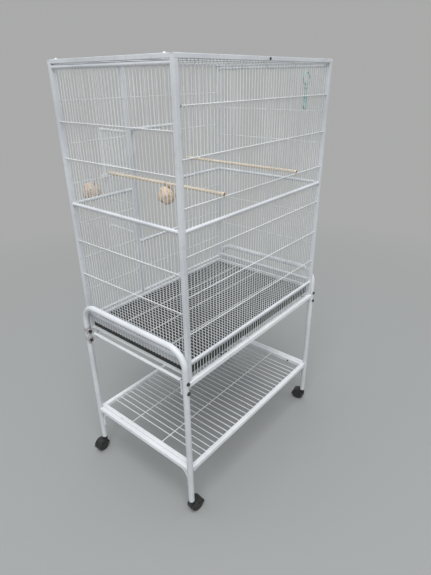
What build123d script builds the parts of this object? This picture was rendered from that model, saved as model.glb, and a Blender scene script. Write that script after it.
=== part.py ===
from build123d import *

import math
import os

# A flight cage for small birds on a rolling tube stand. Millimetres, +Z up.
# The origin is on the floor under the middle of the cage. The door side is the front, at -Y,
# and the short ends are left, at -X, and right, at +X.

# Cage body
cage_width = 700.0
cage_depth = 454.0
cage_top = 1356.0
mid_rail_height = 970.0
post_side = 12.7
post_wall = 1.0
rail_diameter = 10.0
rail_wall = 1.0
end_rail_gap = 3.0
top_bar_rise = 10.0

# Wires
upright_wire = 2.0
cross_wire = 3.0
wire_pitch = 12.7
wire_edge_gap = 4.0
weld_gap = 0.05
side_cross_up = 58.0
side_cross_down = 66.0
side_cross_step = 113.5
end_cross_up = 134.0
end_cross_up_step = 99.0
end_cross_down = 114.0
end_cross_down_step = 113.0
cross_edge_gap = 60.0
roof_support_spacing = 110.0
back_skirt_gap = 4.0

# Front door, drawn shut and then swung open to its resting angle
stile_spacing = 228.0
door_header_height = 1160.0
door_sill_height = 781.0
door_tube = 10.0
door_tube_wall = 1.0
door_play = 2.5
door_hinge_gap = 9.25
door_rest_angle = 86.0
hinge_stand_off = 4.65
hinge_pin_diameter = 3.5
hinge_barrel_diameter = 7.0
hinge_pin_clearance = 0.05
hinge_barrel_length = 16.0
hinge_ear_thickness = 3.0
hinge_ear_play = 0.3
hinge_ear_overlap = 4.0
hinge_inset = 64.0
hinge_leaf_width = 5.0

# Door latch
latch_height = 986.0
latch_plate_length = 28.0
latch_plate_height = 18.0
latch_plate_thickness = 2.0
latch_rod_diameter = 4.0
latch_rod_clearance = 0.05
latch_guide_length = 5.0
latch_guide_side = 8.0
latch_handle_length = 14.0
latch_handle_play = 0.4
latch_tip_reach = 0.85
latch_tail = 10.0
keeper_length = 7.0
keeper_side = 11.0
keeper_clearance = 1.2

# Roof and rail screws
screw_shank = 4.0
screw_head = 8.0
screw_head_top = 4.5
screw_head_height = 2.8
screw_length = 7.0
screw_clearance = 0.1
roof_screw_inset = 20.0

# Slide-out grate and tray
runner_sheet = 1.5
runner_web_inset = 1.5
grate_runner_ledge = 18.0
tray_runner_thickness = 4.0
tray_runner_width = 20.0
tray_runner_gap = 1.2
grate_bar = 8.0
grate_rail_gap = 4.2
end_bottom_rise = 9.0
grate_side_play = 3.0
slide_clearance = 0.3
grate_wire_drop = 2.8
grate_support_spacing = 107.0
grate_front_set_back = 3.0
rear_stop_gap = 4.0
tray_side_play = 2.6
tray_height = 20.0
tray_grate_gap = 3.0
tray_sheet = 1.5
tray_corner = 8.0
tray_lip_width = 140.0
tray_lip_reach = 12.0
tray_lip_thickness = 2.5

# Stand
leg_diameter = 19.0
leg_wall = 1.5
leg_post_gap = 0.5
leg_foot_height = 49.0
arch_height = 631.5
arch_bend_radius = 57.0
stand_rail_side = 16.0
stand_rail_wall = 1.5
stand_rail_corner = 2.0
stand_rail_top = 527.0
stand_rail_end_gap = 2.0
plate_thickness = 3.0
plate_rise = 10.0
plate_drop = 37.0
plate_inner_reach = 14.0
leg_bolt_rise = 4.0
leg_bolt_fall = 30.0
cross_tube_diameter = 11.0
cross_tube_wall = 1.0
cross_tube_drop = 15.0
cross_tube_inset = 3.0
bolt_diameter = 6.0
bolt_clearance = 0.2
bolt_head = 11.0
bolt_head_top = 7.4
bolt_head_height = 4.0
bolt_tip = 2.0
nut_across_flats = 10.0
nut_thickness = 5.0
nut_clearance = 0.05
brace_rod = 6.0
brace_radius = 40.0
brace_bar_run = 18.0
brace_leg_run = 24.0

# Lower shelf
shelf_top = 194.0
shelf_tube = 16.0
shelf_tube_wall = 1.5
shelf_tube_corner = 2.0
shelf_leg_gap = 0.3
shelf_wire = 3.0
shelf_wire_drop = 6.0
shelf_wire_pitch = 23.0
shelf_wire_end_gap = 38.0
shelf_long_wire_spacing = 152.0
shelf_screw_inset = 60.0
shelf_screw_head_gap = 0.02

# Casters
wheel_diameter = 42.0
wheel_width = 12.0
wheel_edge = 2.5
wheel_side_play = 0.6
wheel_hub_recess = 1.5
wheel_hub_rim = 6.0
caster_web = 5.0
caster_trail = 18.0
caster_axle = 6.0
caster_hub = 12.0
caster_axle_clearance = 0.05
hood_gap = 1.4
hood_shell = 2.2
hood_sweep = 200.0
hood_boss = 18.0
hood_swivel_gap = 0.3
stem_diameter = 8.0
stem_clearance = 0.05
stem_length = 30.0
socket_flange = 2.5
socket_depth = 34.0
socket_play = 0.02
caster_yaw = {
    "front_left": 200.0,
    "front_right": 6.0,
    "back_left": -80.0,
    "back_right": 175.0,
}

# Perches and hanging toys
perch_play = 0.35
perch_front_reach = 21.0
perch_back_reach = 4.5
perch_right_offset = 190.0
perch_left_offset = -178.0
toy_wire = 2.0
toy_hook_wire = 2.6
toy_ring_clearance = 0.3
perch_ball_diameter = 55.0
front_ball_diameter = 60.0
ball_sink = 1.0
front_ball_sink = 3.0
charm_overlap = 1.0
perch_ball_back = 16.0
front_ball_inset = 90.0
front_ball_drop = 45.0
front_ball_rail_gap = 0.3
charm_inset = 58.0
charm_back = 185.0
charm_ring_diameter = 42.0
charm_ring_thickness = 6.0
charm_link_length = 27.0
charm_bead_diameter = 12.0
charm_drop_diameter = 18.0
charm_drop_length = 60.0

# Places worked out from the sizes above
half_width = cage_width / 2
half_depth = cage_depth / 2
inner_x = half_width - post_side / 2
inner_y = half_depth - post_side / 2
outer_y = half_depth + post_side / 2
rail_radius = rail_diameter / 2
top_bar_height = cage_top - top_bar_rise / 2
top_bar_underside = cage_top - top_bar_rise
end_top_height = top_bar_underside - end_rail_gap - rail_radius
cross_offset = (upright_wire + cross_wire) / 2 + weld_gap

stile_x = stile_spacing / 2
stile_inner = stile_x - post_side / 2
stile_outer = stile_x + post_side / 2

leg_radius = leg_diameter / 2
leg_x = half_width + post_side / 2 + leg_post_gap + leg_radius
leg_y = inner_y + leg_radius
stand_rail_y = inner_y + stand_rail_side / 2
stand_rail_height = stand_rail_top - stand_rail_side / 2
stand_rail_end = leg_x - leg_radius - stand_rail_end_gap
plate_inside = inner_y - plate_thickness

# The tray and the grate are stacked from the stand's rails up to the cage's bottom rail.
tray_runner_top = stand_rail_top + plate_rise + tray_runner_gap + tray_runner_thickness
tray_low = tray_runner_top + slide_clearance
tray_high = tray_low + tray_height
grate_ledge_underside = tray_high + tray_grate_gap
grate_ledge_top = grate_ledge_underside + runner_sheet
grate_low = grate_ledge_top + slide_clearance
grate_high = grate_low + grate_bar
bottom_rail_height = grate_high + grate_rail_gap + rail_radius
end_bottom_height = bottom_rail_height + end_bottom_rise

os.makedirs("parts", exist_ok=True)


def save(name, solids):
    """Write one node: a single solid, or a group of separate ones."""
    group = solids if isinstance(solids, list) else [solids]
    shape = group[0] if len(group) == 1 else Compound(children=group)
    export_step(shape, f"parts/{name}.step")


def rod(start, end, diameter):
    """A solid round bar from start to end."""
    run = Vector(*end) - Vector(*start)
    return Solid.make_cylinder(diameter / 2, run.length, Plane(origin=start, z_dir=run))


def section_plane(start, end):
    """A plane at start, square to the run, with its X direction level or along X."""
    run = Vector(*end) - Vector(*start)
    level = (1, 0, 0) if abs(run.X) < abs(run.Y) + abs(run.Z) else (0, 1, 0)
    return Plane(origin=start, x_dir=level, z_dir=run)


def round_tube(start, end, diameter, wall):
    """A hollow round tube from start to end."""
    length = (Vector(*end) - Vector(*start)).length
    ring = Circle(diameter / 2) - Circle(diameter / 2 - wall)
    return extrude(section_plane(start, end) * ring, amount=length).solid()


def box_tube(start, end, width, rise, wall, corner):
    """A hollow level tube with rounded edges from start to end, as wide and as high as given."""
    length = (Vector(*end) - Vector(*start)).length
    ring = RectangleRounded(width, rise, corner) - Rectangle(width - 2 * wall, rise - 2 * wall)
    return extrude(section_plane(start, end) * ring, amount=length).solid()


def square_tube(start, end, side, wall, corner):
    """A hollow square tube with rounded edges from start to end."""
    return box_tube(start, end, side, side, wall, corner)


def block(low, high):
    """A plain box between two corners."""
    low = Vector(*low)
    size = Vector(*high) - low
    return Solid.make_box(size.X, size.Y, size.Z, Plane(origin=low))


def wire_grid(low, high):
    """Wire places on the cage's common pitch that lie clear of both frame edges."""
    first = math.ceil((low + wire_edge_gap) / wire_pitch - 0.5)
    last = math.floor((high - wire_edge_gap) / wire_pitch - 0.5)
    return [(index + 0.5) * wire_pitch for index in range(first, last + 1)]


def gap_near(place):
    """The middle of the gap between two wires that is nearest to a place."""
    return round(place / wire_pitch) * wire_pitch


def wire_near(place):
    """The wire nearest to a place."""
    return (math.floor(place / wire_pitch) + 0.5) * wire_pitch


def spaced(span, pitch):
    """Places at a set pitch, centred, that fit in the span."""
    count = int(span / pitch) + 1
    return [(index - (count - 1) / 2) * pitch for index in range(count)]


def cross_rows(first, step, rail):
    """Cross wire heights from the first one on towards a rail, as many as stay clear of it."""
    towards = 1 if rail > mid_rail_height else -1
    room = towards * (rail - first) - cross_edge_gap
    return [first + towards * step * row for row in range(math.floor(room / step) + 1)]


def side_cross_heights():
    """Heights of the cross wires on the front and back panels."""
    up = cross_rows(mid_rail_height + side_cross_up, side_cross_step, top_bar_underside)
    return up + cross_rows(mid_rail_height - side_cross_down, side_cross_step, bottom_rail_height)


def end_cross_heights():
    """Heights of the cross wires on the two end panels."""
    up = cross_rows(mid_rail_height + end_cross_up, end_cross_up_step, end_top_height)
    return up + cross_rows(mid_rail_height - end_cross_down, end_cross_down_step, end_bottom_height)


def cross_heights_within(field):
    """The front panel's cross wires that lie clear inside a field."""
    low, high = field
    return [z for z in side_cross_heights() if low + cross_wire < z < high - cross_wire]


def side_wires(y, outward, low_x, high_x, fields, heights):
    """Upright wires in a front or back panel, one run per field, with cross wires outside them."""
    wires = []
    for low_z, high_z in fields:
        for x in wire_grid(low_x, high_x):
            wires.append(rod((x, y, low_z), (x, y, high_z), upright_wire))
    cross_y = y + outward * cross_offset
    for z in heights:
        wires.append(rod((low_x, cross_y, z), (high_x, cross_y, z), cross_wire))
    return wires


# The corner posts stand on the stand's long rails and carry the top bars.
posts = []
for side_x in (-1, 1):
    for side_y in (-1, 1):
        foot = (side_x * half_width, side_y * half_depth, stand_rail_top)
        head = (side_x * half_width, side_y * half_depth, top_bar_underside)
        posts.append(square_tube(foot, head, post_side, post_wall, post_wall))
save("corner_posts", posts)


# The top bars run over the posts. A dark screw sits in the middle of each long one.
def top_bar(y, outward):
    """One long top bar with the hole for its middle screw."""
    end = half_width + post_side / 2
    ends = ((-end, y, top_bar_height), (end, y, top_bar_height))
    bar = box_tube(*ends, post_side, top_bar_rise, post_wall, post_wall)
    face = y + outward * post_side / 2
    hole = rod((0, face, top_bar_height), (0, y, top_bar_height), screw_shank + 2 * screw_clearance)
    return (bar - hole).solid()


def level_rail(y, z, low_x, high_x):
    """A round rail along the cage's long side."""
    return round_tube((low_x, y, z), (high_x, y, z), rail_diameter, rail_wall)


save(
    "back_rails",
    [
        top_bar(half_depth, 1),
        level_rail(half_depth, mid_rail_height, -inner_x, inner_x),
        level_rail(half_depth, bottom_rail_height, -inner_x, inner_x),
    ],
)
save(
    "front_rails",
    [
        top_bar(-half_depth, -1),
        level_rail(-half_depth, mid_rail_height, -inner_x, -stile_outer),
        level_rail(-half_depth, mid_rail_height, stile_outer, inner_x),
        level_rail(-half_depth, bottom_rail_height, -inner_x, inner_x),
        level_rail(-half_depth, door_header_height, -stile_inner, stile_inner),
        level_rail(-half_depth, door_sill_height, -stile_inner, stile_inner),
    ],
)

# Two full-height stiles frame the door opening.
stiles = []
for side in (-1, 1):
    foot = (side * stile_x, -half_depth, bottom_rail_height + rail_radius)
    head = (side * stile_x, -half_depth, top_bar_underside)
    stiles.append(square_tube(foot, head, post_side, post_wall, post_wall))
save("front_stiles", stiles)

# Each end panel has three rails between its posts, and a roof bar above its top rail.
for name, side in (("left", -1), ("right", 1)):
    x = side * half_width
    heights = (end_top_height, mid_rail_height, end_bottom_height)
    rails = [round_tube((x, -inner_y, z), (x, inner_y, z), rail_diameter, rail_wall) for z in heights]
    save(f"{name}_end_rails", rails)

roof_bars = []
roof_screws = []
roof_screw_y = inner_y - roof_screw_inset
for side in (-1, 1):
    x = side * half_width
    ends = ((x, -inner_y, top_bar_height), (x, inner_y, top_bar_height))
    bar = box_tube(*ends, post_side, top_bar_rise, post_wall, post_wall)
    for y in (-roof_screw_y, roof_screw_y):
        mouth = (x, y, cage_top)
        bar = bar - rod((x, y, top_bar_height), mouth, screw_shank + 2 * screw_clearance)
        head = Solid.make_cone(screw_head / 2, screw_head_top / 2, screw_head_height, Plane(origin=mouth))
        shank = rod((x, y, cage_top - screw_length), mouth, screw_shank)
        roof_screws.append((head + shank).solid())
    roof_bars.append(bar.solid())
save("roof_bars", roof_bars)
save("roof_screws", roof_screws)

rail_screws = []
for outward in (-1, 1):
    face = outward * outer_y
    out = (0, outward, 0)
    head_plane = Plane(origin=(0, face, top_bar_height), z_dir=out)
    head = Solid.make_cone(screw_head / 2, screw_head_top / 2, screw_head_height, head_plane)
    tip = (0, face - outward * (post_side / 2 - screw_clearance), top_bar_height)
    shank = rod(tip, (0, face, top_bar_height), screw_shank)
    rail_screws.append((head + shank).solid())
save("rail_screws", rail_screws)

# Upright wires run from rail to rail. The back panel's go on below its bottom rail as a skirt.
above_mid = (mid_rail_height + rail_radius, top_bar_underside)
below_mid = (bottom_rail_height + rail_radius, mid_rail_height - rail_radius)
skirt_top = bottom_rail_height - rail_radius
skirt = (stand_rail_top + back_skirt_gap, skirt_top)
back_fields = (above_mid, below_mid, skirt)
save("back_wires", side_wires(half_depth, 1, -inner_x, inner_x, back_fields, side_cross_heights()))

front_fields = (above_mid, below_mid)
sides = (("left", -inner_x, -stile_outer), ("right", stile_outer, inner_x))
for name, low_x, high_x in sides:
    wires = side_wires(-half_depth, -1, low_x, high_x, front_fields, side_cross_heights())
    save(f"front_wires_{name}", wires)

over_door = (door_header_height + rail_radius, top_bar_underside)
under_door = (bottom_rail_height + rail_radius, door_sill_height - rail_radius)
for name, field in (("over_door", over_door), ("under_door", under_door)):
    heights = cross_heights_within(field)
    wires = side_wires(-half_depth, -1, -stile_inner, stile_inner, (field,), heights)
    save(f"front_wires_{name}", wires)

# The end panels' wires end level with the grate runner that hangs inside them.
end_fields = (
    (mid_rail_height + rail_radius, end_top_height - rail_radius),
    (end_bottom_height + rail_radius, mid_rail_height - rail_radius),
    (grate_ledge_underside, end_bottom_height - rail_radius),
)
for name, side in (("left", -1), ("right", 1)):
    x = side * half_width
    wires = []
    for low_z, high_z in end_fields:
        for y in wire_grid(-inner_y, inner_y):
            wires.append(rod((x, y, low_z), (x, y, high_z), upright_wire))
    cross_x = x + side * cross_offset
    for z in end_cross_heights():
        wires.append(rod((cross_x, -inner_y, z), (cross_x, inner_y, z), cross_wire))
    save(f"{name}_end_wires", wires)

# The roof wires run front to back, with support wires welded under them.
roof_wires = []
for x in wire_grid(-inner_x, inner_x):
    roof_wires.append(rod((x, -inner_y, top_bar_height), (x, inner_y, top_bar_height), upright_wire))
support_height = top_bar_height - cross_offset
for y in (-roof_support_spacing, 0, roof_support_spacing):
    roof_wires.append(rod((-inner_x, y, support_height), (inner_x, y, support_height), cross_wire))
save("roof_wires", roof_wires)

# Folded runners hang under the end rails for the grate, and flat ones below them carry the tray.
grate_runners = []
tray_runners = []
web_outer = half_width - runner_web_inset
web_inner = web_outer - runner_sheet
web_top = end_bottom_height - math.sqrt(rail_radius**2 - runner_web_inset**2)
ledge_inner = web_outer - grate_runner_ledge
flat_outer = inner_x + post_side / 2
flat_inner = flat_outer - tray_runner_width
for side in (-1, 1):
    profile = Polyline(
        (side * web_outer, 0, grate_ledge_underside),
        (side * web_outer, 0, web_top),
        (side * web_inner, 0, web_top),
        (side * web_inner, 0, grate_ledge_top),
        (side * ledge_inner, 0, grate_ledge_top),
        (side * ledge_inner, 0, grate_ledge_underside),
        close=True,
    )
    face = Face(Wire(profile.edges())).moved(Location((0, -inner_y, 0)))
    grate_runners.append(extrude(face, amount=2 * inner_y, dir=(0, 1, 0)).solid())
    low_x, high_x = sorted((side * flat_inner, side * flat_outer))
    low = (low_x, -inner_y, tray_runner_top - tray_runner_thickness)
    tray_runners.append(block(low, (high_x, inner_y, tray_runner_top)))
save("grate_runners", grate_runners)
save("tray_runners", tray_runners)

# The grate is a framed wire floor that slides out under the front bottom rail.
grate_half = inner_x - grate_side_play
grate_front = -half_depth + grate_front_set_back
grate_back = half_depth - upright_wire / 2 - rear_stop_gap
grate_inside_front = grate_front + grate_bar
grate_inside_back = grate_back - grate_bar
grate_inside = grate_half - grate_bar
grate_frame = [
    block((-grate_half, grate_front, grate_low), (grate_half, grate_inside_front, grate_high)),
    block((-grate_half, grate_inside_back, grate_low), (grate_half, grate_back, grate_high)),
    block((-grate_half, grate_inside_front, grate_low), (-grate_inside, grate_inside_back, grate_high)),
    block((grate_inside, grate_inside_front, grate_low), (grate_half, grate_inside_back, grate_high)),
]
save("grate_frame", grate_frame)

grate_wires = []
grate_wire_height = grate_high - grate_wire_drop
for x in wire_grid(-grate_inside, grate_inside):
    front = (x, grate_inside_front, grate_wire_height)
    grate_wires.append(rod(front, (x, grate_inside_back, grate_wire_height), upright_wire))
grate_support_height = grate_wire_height + cross_offset
for y in (-grate_support_spacing, 0, grate_support_spacing):
    left = (-grate_inside, y, grate_support_height)
    grate_wires.append(rod(left, (grate_inside, y, grate_support_height), cross_wire))
save("grate_wires", grate_wires)

# The tray is a folded sheet pan with a pull lip on its front wall.
tray_half = inner_x - tray_side_play
tray_front = -half_depth
tray_back = half_depth - upright_wire / 2 - rear_stop_gap
tray_depth = tray_back - tray_front
tray_centre = (tray_back + tray_front) / 2
pan = Plane((0, tray_centre, tray_low)) * RectangleRounded(2 * tray_half, tray_depth, tray_corner)
well_plane = Plane((0, tray_centre, tray_low + tray_sheet))
well_width = 2 * (tray_half - tray_sheet)
well_depth = tray_depth - 2 * tray_sheet
well = well_plane * RectangleRounded(well_width, well_depth, tray_corner - tray_sheet)
tray = extrude(pan, amount=tray_height) - extrude(well, amount=tray_height)
lip_low = (-tray_lip_width / 2, tray_front - tray_lip_reach, tray_high - tray_lip_thickness)
lip_high = (tray_lip_width / 2, tray_front + tray_sheet, tray_high)
tray = tray + block(lip_low, lip_high)
save("tray", tray.solid())

# The door is drawn shut, in the plane of the front panel, and swung open about its hinge pins.
door_left = -stile_inner + door_play
door_right = stile_inner - door_hinge_gap
door_low = door_sill_height + rail_radius + door_play
door_high = door_header_height - rail_radius - door_play
door_radius = door_tube / 2
latch_stile_x = door_left + door_radius
hinge_stile_x = door_right - door_radius
door_face = -half_depth - door_radius
hinge_x = hinge_stile_x
hinge_y = -outer_y - hinge_stand_off
hinge_axis = Axis((hinge_x, hinge_y, 0), (0, 0, 1))


def swing(solids):
    """Turn door pieces from shut to the resting angle."""
    return [solid.rotate(hinge_axis, door_rest_angle) for solid in solids]


door_frame = []
for x in (latch_stile_x, hinge_stile_x):
    ends = ((x, -half_depth, door_low), (x, -half_depth, door_high))
    door_frame.append(round_tube(*ends, door_tube, door_tube_wall))
door_inside = (latch_stile_x + door_radius, hinge_stile_x - door_radius)
for z in (door_low + door_radius, door_high - door_radius):
    ends = [(x, -half_depth, z) for x in door_inside]
    door_frame.append(round_tube(*ends, door_tube, door_tube_wall))
save("door_frame", swing(door_frame))

door_field = (door_low + door_tube, door_high - door_tube)
door_cross = cross_heights_within(door_field)
door_wires = side_wires(-half_depth, -1, *door_inside, (door_field,), door_cross)
save("door_wires", swing(door_wires))

# Each hinge is a barrel on the door between two long ears that hold the pin to the right stile.
hinge_leaves = []
hinge_pins = []
barrel_bore = hinge_pin_diameter + 2 * hinge_pin_clearance
ear_start = hinge_barrel_length / 2 + hinge_ear_play
ear_end = ear_start + hinge_ear_thickness
for z in (door_low + hinge_inset, door_high - hinge_inset):
    low = z - hinge_barrel_length / 2
    high = z + hinge_barrel_length / 2
    barrel = rod((hinge_x, hinge_y, low), (hinge_x, hinge_y, high), hinge_barrel_diameter)
    leaf_low = (hinge_stile_x - hinge_leaf_width / 2, hinge_y, low)
    leaf = block(leaf_low, (hinge_stile_x + hinge_leaf_width / 2, door_face, high))
    bore = rod((hinge_x, hinge_y, low), (hinge_x, hinge_y, high), barrel_bore)
    hinge_leaves.append((barrel + leaf - bore).solid())
    pin = rod((hinge_x, hinge_y, z - ear_end), (hinge_x, hinge_y, z + ear_end), hinge_pin_diameter)
    for ear_low in (z - ear_end, z + ear_start):
        ear_high = ear_low + hinge_ear_thickness
        eye = rod((hinge_x, hinge_y, ear_low), (hinge_x, hinge_y, ear_high), hinge_barrel_diameter)
        arm_low = (hinge_x, hinge_y - hinge_pin_diameter / 2, ear_low)
        arm = block(arm_low, (stile_x + hinge_ear_overlap, -outer_y, ear_high))
        pin = pin + eye + arm
    hinge_pins.append(pin.solid())
save("hinge_leaves", swing(hinge_leaves))
save("hinge_pins", hinge_pins)

# A sliding bolt on the door's free stile goes into a keeper on the left stile.
plate_left = latch_stile_x - latch_rod_diameter
plate_right = plate_left + latch_plate_length
plate_front = door_face - latch_plate_thickness
latch_y = plate_front - latch_guide_side / 2
plate_low = (plate_left, plate_front, latch_height - latch_plate_height / 2)
latch_plate = block(plate_low, (plate_right, door_face, latch_height + latch_plate_height / 2))
guide_bore = latch_rod_diameter + 2 * latch_rod_clearance
half_guide = latch_guide_side / 2
for start in (plate_left, plate_right - latch_guide_length):
    low = (start, plate_front - latch_guide_side, latch_height - half_guide)
    guide = block(low, (start + latch_guide_length, plate_front, latch_height + half_guide))
    latch_plate = latch_plate + guide
far_end = (plate_right + latch_tail, latch_y, latch_height)
latch_plate = latch_plate - rod((plate_left - latch_tail, latch_y, latch_height), far_end, guide_bore)
save("latch_plate", swing([latch_plate.solid()]))

tip = (plate_left - latch_tip_reach, latch_y, latch_height)
latch_bolt = rod(tip, far_end, latch_rod_diameter)
handle_x = plate_right - latch_guide_length - latch_rod_diameter / 2 - latch_handle_play
handle_foot = (handle_x, latch_y, latch_height)
handle_end = (handle_x, latch_y - latch_handle_length, latch_height)
latch_bolt = latch_bolt + rod(handle_foot, handle_end, latch_rod_diameter)
save("latch_bolt", swing([latch_bolt.solid()]))

half_keeper = keeper_side / 2
keeper_left = -stile_outer + latch_tip_reach
keeper_right = keeper_left + keeper_length
keeper_low = (keeper_left, latch_y - half_keeper, latch_height - half_keeper)
keeper = block(keeper_low, (keeper_right, -outer_y, latch_height + half_keeper))
keeper_mouth = (keeper_right, latch_y, latch_height)
keeper_hole = latch_rod_diameter + 2 * keeper_clearance
keeper = keeper - rod((keeper_left, latch_y, latch_height), keeper_mouth, keeper_hole)
save("latch_keeper", keeper.solid())

# Perches pass between the upright wires and rest on the first cross wires above the mid rail.
perch_diameter = wire_pitch - upright_wire - 2 * perch_play
perch_rest = mid_rail_height + side_cross_up + cross_wire / 2
perch_height = perch_rest + perch_diameter / 2
for name, offset in (("left", perch_left_offset), ("right", perch_right_offset)):
    x = gap_near(offset)
    front = (x, -half_depth - perch_front_reach, perch_height)
    perch = rod(front, (x, half_depth + perch_back_reach, perch_height), perch_diameter)
    save(f"perch_{name}", perch)


def hanging_ring(around, plane, carried_diameter):
    """A wire ring that hangs on a bar, with the depth of its lowest point below the bar's axis."""
    inner = carried_diameter / 2 + 2 * toy_ring_clearance
    centre = Vector(*around) - Vector(0, 0, toy_ring_clearance)
    ring = Solid.make_torus(inner + toy_wire / 2, toy_wire / 2, Plane(origin=centre, z_dir=plane))
    return ring, inner + toy_wire + toy_ring_clearance


def round_ball(centre, diameter):
    """A toy ball, with its poles to the sides and its seam underneath."""
    place = Plane(origin=centre, x_dir=(0, 0, -1), z_dir=(1, 0, 0))
    return Solid.make_sphere(diameter / 2, place)


# One woven ball hangs under the right perch, and one outside the front panel from its cross wire.
perch_ball_at = (gap_near(perch_right_offset), perch_ball_back, perch_height)
ring, depth = hanging_ring(perch_ball_at, (0, 1, 0), perch_diameter)
ball_centre = Vector(*perch_ball_at) - Vector(0, 0, depth + perch_ball_diameter / 2 - ball_sink)
perch_ball = round_ball(ball_centre, perch_ball_diameter) + ring
save("perch_ball", perch_ball.solid())

front_ball_x = gap_near(inner_x - front_ball_inset)
front_ball_at = Vector(front_ball_x, -half_depth - cross_offset, mid_rail_height + side_cross_up)
ring, depth = hanging_ring(front_ball_at, (1, 0, 0), cross_wire)
ball_y = -half_depth - rail_radius - front_ball_rail_gap - front_ball_diameter / 2
ball_centre = Vector(front_ball_x, ball_y, front_ball_at.Z - front_ball_drop)
slant = (ball_centre - front_ball_at).normalized()
link_start = front_ball_at + slant * (depth - toy_wire / 2)
link_end = ball_centre - slant * (front_ball_diameter / 2 - front_ball_sink)
hook = rod(link_start, link_end, toy_hook_wire) + ring
front_ball = round_ball(ball_centre, front_ball_diameter) + hook
save("front_ball", front_ball.solid())

# A ring and drop charm hangs from a roof wire by the back right of the left end.
charm_x = wire_near(charm_inset - inner_x)
charm_at = (charm_x, charm_back, top_bar_height)
ring, depth = hanging_ring(charm_at, (0, 1, 0), upright_wire)
link_top = top_bar_height - depth + toy_wire / 2
hoop_radius = (charm_ring_diameter - charm_ring_thickness) / 2
hoop_centre = link_top - charm_link_length - hoop_radius
hoop_plane = Plane(origin=(charm_x, charm_back, hoop_centre), z_dir=(0, 1, 0))
hoop = Solid.make_torus(hoop_radius, charm_ring_thickness / 2, hoop_plane)
link_foot = (charm_x, charm_back, hoop_centre + hoop_radius)
link = rod(link_foot, (charm_x, charm_back, link_top), toy_hook_wire)

# The bead and the drop are turned about the string that they are threaded on.
string_top = hoop_centre - hoop_radius
bead_centre = string_top - charm_ring_thickness / 2 - charm_bead_diameter / 2
drop_top = bead_centre - charm_bead_diameter / 2 + charm_overlap
drop_centre = drop_top - charm_drop_length + charm_drop_diameter / 2
bead = Pos(0, bead_centre) * Circle(charm_bead_diameter / 2)
drop = Pos(0, drop_centre) * Circle(charm_drop_diameter / 2)
cone = make_face(
    Polyline(
        (0, drop_centre),
        (charm_drop_diameter / 2, drop_centre),
        (toy_wire, drop_top),
        (0, drop_top),
        close=True,
    )
)
string_middle = (string_top + drop_centre) / 2
string = Pos(0, string_middle) * Rectangle(toy_wire, string_top - drop_centre)
half_plane = Pos(charm_drop_diameter, 0) * Rectangle(2 * charm_drop_diameter, 2 * cage_top)
profile = (bead + drop + cone + string) & half_plane
charm_plane = Plane(origin=(charm_x, charm_back, 0), x_dir=(1, 0, 0), z_dir=(0, -1, 0))
turned = revolve(charm_plane * profile, Axis((charm_x, charm_back, 0), (0, 0, 1)))
charm = ring + link + hoop + turned
save("hanging_charm", charm.solid())

# Each end frame of the stand is one tube bent to an upside-down U, drilled for its bolts.
leg_bolt_heights = (stand_rail_top + leg_bolt_rise, stand_rail_top - leg_bolt_fall)
bolt_hole = bolt_diameter + 2 * bolt_clearance
for name, side in (("left", -1), ("right", 1)):
    x = side * leg_x
    route = FilletPolyline(
        (x, -leg_y, leg_foot_height),
        (x, -leg_y, arch_height),
        (x, leg_y, arch_height),
        (x, leg_y, leg_foot_height),
        radius=arch_bend_radius,
    )
    ring = Plane((x, -leg_y, leg_foot_height)) * (Circle(leg_radius) - Circle(leg_radius - leg_wall))
    frame = sweep(ring, path=route)
    for z in leg_bolt_heights:
        for side_y in (-1, 1):
            near = (x, side_y * (leg_y - leg_diameter), z)
            frame = frame - rod(near, (x, side_y * (leg_y + leg_diameter), z), bolt_hole)
    save(f"stand_frame_{name}", frame.solid())

# Long rails run between the end frames and carry the posts.
for name, side in (("front", -1), ("back", 1)):
    y = side * stand_rail_y
    ends = ((-stand_rail_end, y, stand_rail_height), (stand_rail_end, y, stand_rail_height))
    save(f"stand_rail_{name}", square_tube(*ends, stand_rail_side, stand_rail_wall, stand_rail_corner))

# A plate inside each corner is welded to the long rail and the end cross tube, and bolted to the leg.
corner_plates = []
stand_bolts = []
stand_nuts = []
plate_inner_x = half_width - plate_inner_reach
for side_x in (-1, 1):
    for side_y in (-1, 1):
        low_x, high_x = sorted((side_x * plate_inner_x, side_x * (leg_x + leg_radius)))
        low_y, high_y = sorted((side_y * plate_inside, side_y * inner_y))
        low = (low_x, low_y, stand_rail_top - plate_drop)
        plate = block(low, (high_x, high_y, stand_rail_top + plate_rise))
        x = side_x * leg_x
        inner_end = plate_inside - nut_thickness - bolt_tip
        for z in leg_bolt_heights:
            start = (x, side_y * inner_end, z)
            seat_point = (x, side_y * (leg_y + leg_radius), z)
            plate = plate - rod(start, seat_point, bolt_hole)
            head_plane = Plane(origin=seat_point, z_dir=(0, side_y, 0))
            head = Solid.make_cone(bolt_head / 2, bolt_head_top / 2, bolt_head_height, head_plane)
            stand_bolts.append((head + rod(start, seat_point, bolt_diameter)).solid())
            nut_plane = Plane(origin=(x, side_y * plate_inside, z), x_dir=(1, 0, 0), z_dir=(0, -side_y, 0))
            hexagon = RegularPolygon(nut_across_flats / 2, 6, major_radius=False)
            nut_ring = hexagon - Circle(bolt_diameter / 2 + nut_clearance)
            stand_nuts.append(extrude(nut_plane * nut_ring, amount=nut_thickness).solid())
        corner_plates.append(plate.solid())
save("corner_plates", corner_plates)
save("stand_bolts", stand_bolts)
save("stand_nuts", stand_nuts)

cross_tubes = []
cross_tube_height = stand_rail_top - cross_tube_drop
for side in (-1, 1):
    x = side * (half_width - cross_tube_inset)
    ends = ((x, -plate_inside, cross_tube_height), (x, plate_inside, cross_tube_height))
    cross_tubes.append(round_tube(*ends, cross_tube_diameter, cross_tube_wall))
save("cross_tubes", cross_tubes)

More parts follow.
